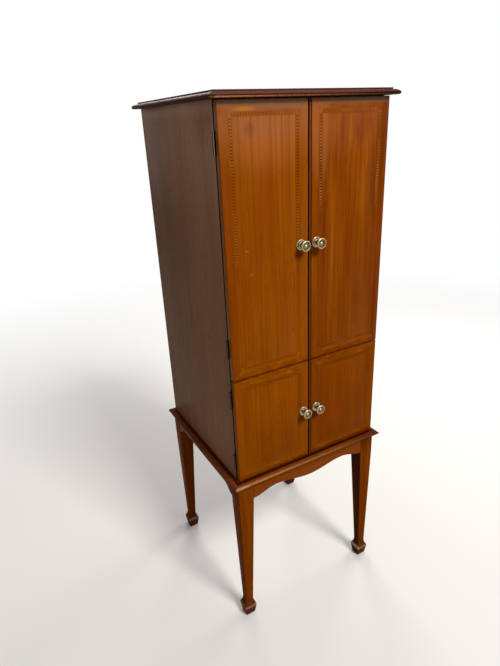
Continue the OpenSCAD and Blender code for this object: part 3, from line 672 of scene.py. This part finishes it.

# %% [markdown]
# Every sheet of veneer has its own streaks, clouds and stains. They could be left to noise, but
# then they would lie anywhere, so each is a soft ellipse set one by one. The table gives for every
# door its shades, the contrast of its figure, its marks (change of tone, x, z, half width, half
# height, lean) and its stains, which begin with a colour. All lengths in it are in millimetres.

# Some stains paint light: a pale painted sheen near the top, and grey painted fill light inside the
# shadow that the top casts.
# %% Sheets of veneer
GOLD = (paint(118, 52, 0), paint(142, 72, 0), paint(164, 90, 8))
RED = (paint(106, 44, 0), paint(136, 66, 0), paint(160, 88, 12))
LOW_GOLD = (paint(112, 52, 0), paint(136, 69, 0), paint(154, 84, 8))
LOW_RED = (paint(104, 44, 0), paint(127, 61, 0), paint(146, 78, 8))
# The first two colours paint light: a sheen near the top of the doors, and grey fill light inside
# the shadow of the top.
PAINTED_SHEEN, SHADOW_FILL_GREY, BEIGE = paint(178, 104, 50), paint(152, 132, 112), paint(140, 98, 70)
REDDISH, ORANGE, SMUDGE = paint(150, 62, 12), paint(206, 124, 44), paint(112, 50, 14)
FLAME = paint(120, 50, 26)
veneers = {
    "upper_left": (GOLD, 0.42, 0.3, [
        (-0.14, -96, 965, 26, 120), (0.1, -38, 930, 12, 190), (-0.1, -60, 760, 14, 120),
        (0.08, -120, 800, 20, 110), (0.12, -95, 690, 150, 140),
    ], [
        # Painted sheen near the top, and grey painted fill light in the shadow of the top.
        (PAINTED_SHEEN, 0.55, -95, 1140, 150, 130), (SHADOW_FILL_GREY, 0.8, -95, 1147, 400, 14),
        (REDDISH, 0.2, -98, 985, 30, 95), (SMUDGE, 0.42, -125.5, 1100, 14, 16),
        (BEIGE, 0.25, -95, 1112, 160, 40), (BEIGE, 0.4, -80, 1133, 130, 9),
        (ORANGE, 0.6, -134, 1130, 26, 6), (REDDISH, 0.6, -180, 1128, 8, 9),
        (REDDISH, 0.35, -178, 960, 5, 150), (ORANGE, 0.35, -140, 897, 5, 3),
        (SMUDGE, 0.5, -139, 900, 3, 2.5), (ORANGE, 0.25, -132, 852, 7, 2.5),
        (SMUDGE, 0.6, -43, 721, 4, 5), (SMUDGE, 0.6, -25, 656, 4, 5),
    ]),
    "upper_right": (RED, 0.8, 0.3, [
        (0.22, 54, 915, 8, 120), (0.12, 46, 990, 6, 90), (-0.16, 33, 905, 6, 130),
        (-0.12, 96, 1085, 12, 50, 0.05), (0.14, 132, 1045, 4, 75, -0.05),
        (-0.1, 118, 1040, 5, 70, -0.04), (0.2, 108, 1112, 7, 20), (-0.22, 74, 1092, 4, 40, 0.04),
        (-0.2, 130, 1100, 5, 34, -0.1), (0.18, 88, 1060, 4, 60, 0.02), (-0.18, 58, 1060, 3, 70),
        (-0.1, 112, 850, 22, 120), (-0.12, 122, 745, 14, 70), (-0.1, 150, 1000, 8, 90, -0.03),
        (-0.2, 146, 900, 20, 260), (-0.16, 158, 740, 14, 120),
    ], [
        # Painted sheen near the top, and grey painted fill light in the shadow of the top.
        (PAINTED_SHEEN, 0.28, 60, 1140, 150, 110), (SHADOW_FILL_GREY, 0.75, 95, 1147, 400, 14),
        (REDDISH, 0.2, 70, 1120, 40, 30), (FLAME, 0.5, 70, 1096, 6, 34, 0.1),
        (FLAME, 0.45, 112, 1072, 5, 30, -0.1), (FLAME, 0.4, 140, 1100, 6, 26, -0.2),
        (ORANGE, 0.12, 56, 1100, 5, 40, 0.05), (ORANGE, 0.14, 92, 1086, 4, 44, -0.05),
        (FLAME, 0.6, 114, 1096, 20, 44), (FLAME, 0.4, 178, 1100, 9, 60),
        (PAINTED_SHEEN, 0.5, 20, 1095, 26, 110), (REDDISH, 0.3, 40, 880, 6, 90, 0.02),
        (ORANGE, 0.12, 52, 850, 4, 80), (REDDISH, 0.35, 176, 860, 7, 160),
        (SMUDGE, 0.6, 26, 656, 4, 5), (SMUDGE, 0.4, 96, 693, 5, 4),
    ]),
    "lower_left": (LOW_GOLD, 0.38, 0.05, [
        (0.1, -120, 560, 30, 60), (0.08, -78, 590, 18, 40), (-0.1, -60, 470, 26, 70),
    ], [
        (ORANGE, 0.15, -84, 622, 16, 10), (ORANGE, 0.15, -52, 628, 10, 7),
        (REDDISH, 0.3, -178, 560, 5, 70),
    ]),
    "lower_right": (LOW_RED, 0.5, 0.1, [
        (-0.14, 82, 535, 10, 90, 0.02), (-0.1, 108, 500, 8, 80), (0.1, 98, 560, 5, 70),
        (-0.1, 140, 480, 14, 80),
    ], [
        (REDDISH, 0.25, 70, 500, 30, 60), (ORANGE, 0.12, 24, 622, 8, 8),
        (ORANGE, 0.12, 130, 624, 22, 7),
    ]),
}
veneer_of = {door: door_veneer(door, *sheet) for door, sheet in veneers.items()}
for door, material in veneer_of.items():
    piece = softened("door_" + door, material, 0.5 * MM)
    print(f"{piece.name}: {len(piece.data.polygons)} faces")

# %% [markdown]
# Where two doors meet, a slim rounded bead is glued to the right door and hides the gap. Its front
# shows the bead's own wood, and its flanks get a near-black painted shade. The mask is simply
# the distance from the front of the bead's box.

# %% Beads
BEAD = (paint(108, 50, 18), paint(148, 80, 36), paint(176, 108, 62))
LOW_BEAD, BEAD_FLANK_SHADE = paint(108, 38, 12), paint(62, 12, 4)


def bead_wood(node):
    low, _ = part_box(node)
    wood = Finish("bead_mahogany_" + node, Specular_IOR_Level=0.03)
    tone, pore = figure(wood, "z", 0.8)
    colour = wood_colour(wood, tone, pore, BEAD)
    colour = wood.blend(wood.z.rise(1.12, 0.9) * 0.6, colour, LOW_BEAD)
    # Painted shade, near black, on the flanks.
    flank = wood.y.rise(low.y + 0.35 * MM, low.y + 0.8 * MM)
    return polished(wood, wood.blend(flank * 0.9, colour, BEAD_FLANK_SHADE), pore, 0.32, 0.4 * MM)


for node in ("bead_upper_right", "bead_lower_right"):
    piece = softened(node, bead_wood(node), 0)
    print(f"{piece.name}: {len(piece.data.polygons)} faces")

# %% [markdown]
# Dashes and screws repeat by the dozen, which is work for Geometry Nodes: what a joiner would do
# over and over is drawn once as a tree of nodes. This class builds such a tree, with named inputs,
# and runs it on a mesh. The result is kept as a plain mesh, so nothing is left to be evaluated.

# %% Geometry plans
class Plan(Tree):
    """A Geometry Nodes tree, with a number for each of its named inputs."""

    def __init__(self, name, **numbers):
        self.group = bpy.data.node_groups.new(name, "GeometryNodeTree")
        super().__init__(self.group)
        sockets = self.group.interface
        for label, side in (("Geometry", "INPUT"), ("Geometry", "OUTPUT"), ("Material", "INPUT")):
            sockets.new_socket(name=label, in_out=side, socket_type="NodeSocket" + label)
        for label, value in numbers.items():
            kind = "NodeSocketInt" if isinstance(value, int) else "NodeSocketFloat"
            made = sockets.new_socket(name=label, in_out="INPUT", socket_type=kind)
            made.default_value = value
        given = self.nodes.new("NodeGroupInput").outputs
        self.given = {socket.name: Field(self, socket) for socket in given if socket.name}
        self.result = self.nodes.new("NodeGroupOutput").inputs

    def named(self, geometry, name, value):
        """Keeps a number with each instance, for its finish to read."""
        settings = {"data_type": "FLOAT", "domain": "INSTANCE"}
        inputs = {"Geometry": geometry, "Name": name, "Value": value}
        return self.node("GeometryNodeStoreNamedAttribute", settings, inputs)

    def end(self, instances):
        """Makes the instances real and gives them their finish."""
        real = self.node("GeometryNodeRealizeInstances", None, {0: instances})
        inputs = {"Geometry": real, "Material": self.given["Material"]}
        dressed = self.node("GeometryNodeSetMaterial", None, inputs)
        self.join(self.result[0], dressed)

    def grown(self, name, mesh, material, **values):
        """Runs the tree on a mesh and returns the result as a plain mesh object."""
        host = add_object(name + "_host", mesh)
        modifier = host.modifiers.new("plan", "NODES")
        modifier.node_group = self.group
        values["Material"] = material
        for item in self.group.interface.items_tree:
            if item.name in values:
                modifier[item.identifier] = values[item.name]
        view = bpy.context.evaluated_depsgraph_get()
        result = bpy.data.meshes.new_from_object(host.evaluated_get(view))
        host.modifiers.clear()
        bpy.data.objects.remove(host)
        result.name = name
        return add_object(name, result)


print("a plan can:", [name for name in vars(Plan) if name.isalpha()])

# %% [markdown]
# The banding is a strip of short slanting dashes laid crosswise, dark and light by turns, like a
# rope. It follows a path round the door: the path is cut into even steps, and each step gets a
# small tile, turned along the path. Two attributes go along with every tile: whether it is a light
# one, and a tone of its own. One wood finish reads both.

# %% Plan of the banding
def banding_plan():
    plan = Plan(
        "banding", Pitch=5.3 * MM, Across=4 * MM, Thick=0.16 * MM, Gap=0.12 * MM, Lean=0.15,
        Contrast=1.0, First=0, Seed=1,
    )
    given = plan.given
    half = given["Pitch"] * 0.5
    path = plan.node("GeometryNodeMeshToCurve", None, {0: given["Geometry"]})
    inputs = {"Curve": path, "Length": half}
    steps = plan.node("GeometryNodeResampleCurve", {"mode": "LENGTH"}, inputs)
    places = plan.node("GeometryNodeCurveToPoints", {"mode": "EVALUATED"}, {0: steps})
    tangent = Field(plan, places.socket.node.outputs["Tangent"])
    settings = {"axis": "X", "pivot_axis": "Y"}
    turn = plan.node("FunctionNodeAlignRotationToVector", settings, {"Vector": tangent})
    size = plan.vector(half - given["Gap"], given["Thick"], given["Across"])
    tile = plan.node("GeometryNodeMeshCube", None, {"Size": size})
    point = plan.node("GeometryNodeInputPosition")
    corner = plan.node("ShaderNodeSeparateXYZ", None, {0: point}, output=2)
    slant = plan.vector(corner * given["Lean"], 0.0, 0.0)
    tile = plan.node("GeometryNodeSetPosition", None, {"Geometry": tile, "Offset": slant})
    inputs = {"Points": places, "Instance": tile, "Rotation": turn}
    laid = plan.node("GeometryNodeInstanceOnPoints", None, inputs)
    place = plan.node("GeometryNodeInputIndex") + given["First"]
    laid = plan.named(laid, "tile_light", (place % 2.0 - 0.5) * given["Contrast"] + 0.5)
    tone = plan.node("FunctionNodeRandomValue", None, {"Seed": given["Seed"]}, output=1)
    plan.end(plan.named(laid, "tile_tone", tone))
    return plan


banding = banding_plan()
print("banding inputs:", list(banding.given))

# %% [markdown]
# Three rows lie side by side: a wide one, and a narrow, fainter one on each side that is light
# where the wide one is dark. The path is four straight lines that stop short of the corners, where
# the veneer closes the frame. The rows lie in the shallow groove between the banding's ground and
# the face of the door, so the tiles end a hair below it. Age has dulled the rows lower down.

# %% Banding
ROW_DEPTH = 0.10 * MM
CORNER_GAP = 4.5 * MM
# Name, shift and width in mm, contrast, and whether the first tile is a light one.
ROWS = [
    ("middle_row", 0.0, 4.0, 1.0, 0),
    ("outer_row", -3.0, 1.4, 0.35, 1),
    ("inner_row", 3.0, 1.4, 0.35, 1),
]


def row_path(door, shift):
    """Four lines round a door, at the depth of the tiles, shifted from the middle of the band."""
    low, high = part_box("door_" + door)
    y = low.y + ROW_DEPTH
    inset = ROW_INSET + shift
    end = ROW_INSET + CORNER_GAP
    lines = [
        ((low.x + end, high.z - inset), (high.x - end, high.z - inset)),
        ((high.x - inset, high.z - end), (high.x - inset, low.z + end)),
        ((high.x - end, low.z + inset), (low.x + end, low.z + inset)),
        ((low.x + inset, low.z + end), (low.x + inset, high.z - end)),
    ]
    points = [(x, y, z) for line in lines for x, z in line]
    mesh = bpy.data.meshes.new("row_path")
    mesh.from_pydata(points, [(i, i + 1) for i in range(0, len(points), 2)], [])
    return mesh


def tile_wood(door, dark, light, ground, fade_from, fade_to):
    """Wood of the dashes, going over to the ground's colour between two heights."""
    low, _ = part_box("door_" + door)
    wood = Finish("banding_wood_" + door, Specular_IOR_Level=0.03)
    own = wood.node("ShaderNodeAttribute", {"attribute_name": "tile_tone"}, output="Fac")
    is_light = wood.node("ShaderNodeAttribute", {"attribute_name": "tile_light"}, output="Fac")
    fibre = wood.noise(wood.place, 900, 2.0)
    patchy = wood.noise(wood.place, 16, 2.0).rise(0.35, 0.65)
    colour = wood.blend(is_light.rise(0.49, 0.51), dark, wood.blend(patchy, ground, light))
    colour = wood.blend((is_light - 0.5).size() * 2.0, ground, colour)
    colour = wood.blend(own * 0.3 + fibre * 0.15, colour, ground)
    low_row = wood.z.rise(low.z + 40 * MM, low.z + 26 * MM)
    colour = wood.blend(wood.z.rise(fade_from, fade_to) * (0.88 - low_row * 0.4), colour, ground)
    # A painted sheen near the top of the doors.
    colour = wood.blend(wood.z.rise(1030 * MM, 1140 * MM) * 0.3, colour, PAINTED_SHEEN)
    return wood.surface(colour, fibre * 0.15 + 0.3)


dashes = {
    "upper_left": (paint(84, 36, 4), paint(178, 104, 40), paint(140, 69, 2), 0.95, 0.74),
    "upper_right": (paint(72, 28, 0), paint(192, 118, 58), paint(128, 59, 2), 1.0, 0.86),
    "lower_left": (paint(104, 48, 0), paint(150, 80, 8), paint(131, 65, 0), 0.56, 0.46),
    "lower_right": (paint(96, 42, 0), paint(142, 74, 10), paint(122, 57, 0), 0.56, 0.46),
}
for door, shades in dashes.items():
    wood = tile_wood(door, *shades)
    for seed, (label, shift, across, contrast, first) in enumerate(ROWS):
        piece = banding.grown(
            f"banding_{label}_{door}", row_path(door, shift * MM), wood,
            Across=across * MM, Contrast=contrast, First=first, Seed=seed,
        )
        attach(piece, door + "_door")
    softened("inlay_" + door, veneer_of[door], 0)
    print(door, "tiles in the last row:", len(piece.data.polygons) // 6)

# %% [markdown]
# Knobs and roses are cast brass that has not been polished for years. Brass dulls to a brown
# green in the hollows and stays bright where fingers rub it, so the finish asks how far a point
# lies from the knob's axis and how far it stands in front of the door.

# %% Brass and steel
def aged_brass(door):
    low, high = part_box("knob_" + door)
    middle = (low + high) / 2
    brass = Finish("aged_brass_" + door, Metallic=1.0)
    across = brass.x - middle.x
    upward = brass.z - middle.z
    radius = (across * across + upward * upward).power(0.5)
    front = brass.y.rise(low.y + 6 * MM, low.y + 1 * MM)
    dish = radius.rise(3.2 * MM, 4.2 * MM) * radius.rise(8.8 * MM, 7.6 * MM) * front
    neck = brass.y.near(low.y + 12 * MM, 4 * MM, 3 * MM) * radius.rise(6.5 * MM, 5.5 * MM)
    patina = brass.noise(brass.place, 260, 3.0, 0.6)
    dull = ((dish + neck).least(1.0) * 0.75 + patina.rise(0.42, 0.72) * 0.45).least(1.0)
    colour = brass.blend(dull, paint(184, 168, 130), paint(80, 68, 38))
    roughness = dull * 0.25 + 0.32
    return brass.surface(colour, roughness, patina, relief=0.2 * MM)


def old_metal(name, bright, dull, roughness):
    metal = Finish(name, Metallic=1.0)
    tarnish = metal.noise(metal.place, 320, 3.0, 0.6)
    spots = tarnish.rise(0.4, 0.7)
    colour = metal.blend(spots, bright, dull)
    return metal.surface(colour, spots * 0.2 + roughness, tarnish, relief=0.15 * MM)


def hinge_steel():
    """Blackened steel, with a painted highlight down the fronts of the knuckles, strongest at the
    top.
    """
    low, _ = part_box("hinge_pins")
    metal = Finish("hinge_metal", Metallic=1.0)
    tarnish = metal.noise(metal.place, 320, 3.0, 0.6)
    colour = metal.blend(tarnish.rise(0.4, 0.7), paint(60, 50, 42), paint(26, 20, 18))
    # Painted highlight down the fronts of the knuckles, strongest near the top.
    knuckle_front = metal.y.rise(low.y - 0.8 * MM, low.y - 1.2 * MM)
    rubbed_highlight = knuckle_front * (metal.z.rise(0.95, 1.05) * 0.85 + 0.15)
    colour = metal.blend(rubbed_highlight, colour, paint(136, 128, 120))
    return metal.surface(colour, tarnish * 0.2 + 0.22, tarnish, relief=0.15 * MM)


hinge_metal = hinge_steel()
screw_brass = old_metal("screw_brass", paint(178, 156, 108), paint(120, 100, 62), 0.36)
screw_steel = old_metal("screw_steel", paint(140, 136, 130), paint(96, 90, 82), 0.42)
for door in veneers:
    brass = aged_brass(door)
    for node in ("knob_" + door, "rose_" + door):
        softened(node, brass, 0)
    softened("hinge_leaves_" + door, hinge_metal, 0)
softened("hinge_frame_leaves", hinge_metal, 0)
softened("hinge_pins", hinge_metal, 0)
softened("dowels", inside_wood, 0)
print("metals:", hinge_metal.name, screw_brass.name, screw_steel.name)

# %% [markdown]
# The solids already hold plain screws in their places, so those places are measured and not typed
# again. Each loose part of a node of screws is one screw. It is found by walking from point to
# point along the edges, and its box says where the head lies and how long the screw is.

# %% Places of the screws
def loose_boxes(node):
    """The box of every separate part of a CAD piece."""
    made = bmesh.new()
    made.from_mesh(frame["nodes"][node].data)
    bmesh.ops.remove_doubles(made, verts=made.verts, dist=MERGE)
    found, seen = [], set()
    for start in made.verts:
        if start in seen:
            continue
        part, waiting = [], [start]
        seen.add(start)
        while waiting:
            vertex = waiting.pop()
            part.append(vertex.co.copy())
            for edge in vertex.link_edges:
                other = edge.other_vert(vertex)
                if other not in seen:
                    seen.add(other)
                    waiting.append(other)
        low = Vector(min(co[i] for co in part) for i in range(3))
        high = Vector(max(co[i] for co in part) for i in range(3))
        found.append((low, high))
    made.free()
    return found


print("screws in one door:", len(loose_boxes("hinge_screws_upper_left")))

# %% [markdown]
# A joiner drives screws home and leaves each slot where it stops, so no two slots point the same
# way. One small screw is a cone joined to a rod, with a slot cut by a block. Geometry Nodes set a
# copy at every place and turn it by a random angle.

# %% Screws
def screw_plan():
    plan = Plan(
        "screws", Head=2.2 * MM, Length=9 * MM, SlotWidth=0.6 * MM, SlotDepth=0.5 * MM,
        Turn=0.0, Seed=3,
    )
    given = plan.given
    shank = given["Head"] * 0.5
    sizes = {"Radius Top": shank, "Radius Bottom": given["Head"], "Depth": shank}
    cone = plan.node("GeometryNodeMeshCone", None, {"Vertices": 24, **sizes})
    inside_head = shank * 0.5
    rest = given["Length"] - inside_head
    sizes = {"Radius": shank * 0.96, "Depth": rest}
    rod = plan.node("GeometryNodeMeshCylinder", None, {"Vertices": 24, **sizes})
    beyond = plan.vector(0.0, 0.0, inside_head + rest * 0.5)
    rod = plan.node("GeometryNodeTransform", None, {"Geometry": rod, "Translation": beyond})
    settings = {"operation": "UNION", "solver": "EXACT"}
    whole = plan.node("GeometryNodeMeshBoolean", settings, {1: cone})
    plan.join(whole.socket.node.inputs[1], rod)
    size = plan.vector(given["Head"] * 3.0, given["SlotWidth"], given["SlotDepth"] * 2.0)
    slot = plan.node("GeometryNodeMeshCube", None, {"Size": size})
    settings = {"operation": "DIFFERENCE", "solver": "EXACT"}
    whole = plan.node("GeometryNodeMeshBoolean", settings, {0: whole, 1: slot})
    points = plan.node("GeometryNodeMeshToPoints", None, {0: given["Geometry"]})
    turn = plan.vector(given["Turn"], 0.0, 0.0)
    inputs = {"Points": points, "Instance": whole, "Rotation": turn}
    driven = plan.node("GeometryNodeInstanceOnPoints", None, inputs)
    inputs = {"Seed": given["Seed"], 3: math.pi}
    angle = plan.node("FunctionNodeRandomValue", None, inputs, output=1)
    spin = plan.vector(0.0, 0.0, angle)
    inputs = {"Instances": driven, "Rotation": spin, "Local Space": True}
    plan.end(plan.node("GeometryNodeRotateInstances", None, inputs))
    return plan


screws = screw_plan()
INTO_REAR, INTO_FRONT, INTO_TOP = (0, 1, 0), (0, -1, 0), (0, 0, 1)
TURNS = {INTO_REAR: -math.pi / 2, INTO_FRONT: math.pi / 2, INTO_TOP: 0.0}
driven = {"hinge_screws_" + door: (INTO_FRONT, screw_brass) for door in veneers}
driven["hinge_frame_screws"] = (INTO_REAR, screw_brass)
driven["back_panel_screws"] = (INTO_FRONT, screw_steel)
driven["fixing_block_screws"] = (INTO_TOP, screw_steel)
for node, (way, metal) in driven.items():
    points = []
    for low, high in loose_boxes(node):
        length = abs((high - low).dot(Vector(way)))
        points.append((low + high) / 2 - Vector(way) * length / 2)
    head = min(high - low) / 2
    mesh = bpy.data.meshes.new("screw_places")
    mesh.from_pydata(points, [], [])
    piece = screws.grown(node + "_turned", mesh, metal, Head=head, Length=length, Turn=TURNS[way])
    stand_in(piece, node)
    print(f"{node}: {len(points)} screws, head {head * 2000:.1f} mm, length {length * 1000:.1f} mm")

# %% [markdown]
# The studio is a wide pale floor and a white world. Lamps and world light the cabinet at a plain
# level, with the main lamp high in front, as the shadow of the top and of the knobs shows. The
# white that the camera sees, and that polish and brass mirror, is chosen by the kind of ray, so
# it adds no light to the cabinet, and light that bounces off the floor is that of oak boards.

# %% Studio
def studio_floor():
    radius = 14.0
    mesh = bpy.data.meshes.new("floor")
    signs = [(-1, -1), (1, -1), (1, 1), (-1, 1)]
    mesh.from_pydata([(x * radius, y * radius, 0) for x, y in signs], [], [(0, 1, 2, 3)])
    floor = add_object("floor", mesh)
    pale = Finish("floor", Roughness=0.9, Specular_IOR_Level=0.1)
    bounced = pale.node("ShaderNodeLightPath", output="Is Diffuse Ray")
    pale.surface(pale.blend(bounced, paint(222, 219, 214), paint(150, 128, 104)))
    far = (pale.x * pale.x + pale.y * pale.y).power(0.5).rise(0.7, 3.0)
    seen = pale.node("ShaderNodeLightPath", output="Is Camera Ray")
    white = pale.node("ShaderNodeEmission", None, {"Color": (1, 1, 1, 1), "Strength": 1.0})
    lit = Field(pale, pale.shader.outputs[0])
    mixed = pale.node("ShaderNodeMixShader", None, {0: far * seen, 1: lit, 2: white})
    pale.join(pale.nodes["Material Output"].inputs["Surface"], mixed)
    mesh.materials.append(pale.material)


def studio_world(fill):
    world = bpy.data.worlds.new("studio")
    bpy.context.scene.world = world
    world.use_nodes = True
    tree = world.node_tree
    background = tree.nodes["Background"]
    rays = tree.nodes.new("ShaderNodeLightPath")
    seen = rays.outputs["Is Camera Ray"]
    for ray in ("Is Glossy Ray", "Is Transmission Ray"):
        most = tree.nodes.new("ShaderNodeMath")
        most.operation = "MAXIMUM"
        tree.links.new(seen, most.inputs[0])
        tree.links.new(rays.outputs[ray], most.inputs[1])
        seen = most.outputs[0]
    strength = tree.nodes.new("ShaderNodeMapRange")
    strength.inputs["To Min"].default_value = fill
    strength.inputs["To Max"].default_value = 1.0
    tree.links.new(seen, strength.inputs["Value"])
    tree.links.new(strength.outputs[0], background.inputs["Strength"])
    background.inputs["Color"].default_value = (1, 1, 1, 1)


def lamp(name, place, aim, width, watts):
    data = bpy.data.lights.new(name, "AREA")
    data.size = width
    data.energy = watts
    made = add_object(name, data)
    made.location = place
    made.rotation_euler = (Vector(place) - Vector(aim)).to_track_quat("Z", "Y").to_euler()


studio_floor()
studio_world(fill=0.30)
lamp("key", (0.80, -4.30, 5.00), (0.0, -0.18, 0.75), 1.7, 325)
lamp("right_fill", (1.9, 0.4, 1.5), (0.18, 0.0, 0.7), 1.2, 22)
lamp("back_fill", (0.9, 2.4, 2.0), (0.0, 0.2, 0.7), 1.4, 36)
print("lamps:", [light.name for light in bpy.data.lights])

# %% [markdown]
# The dressed cabinet has to fit the box of the solids.
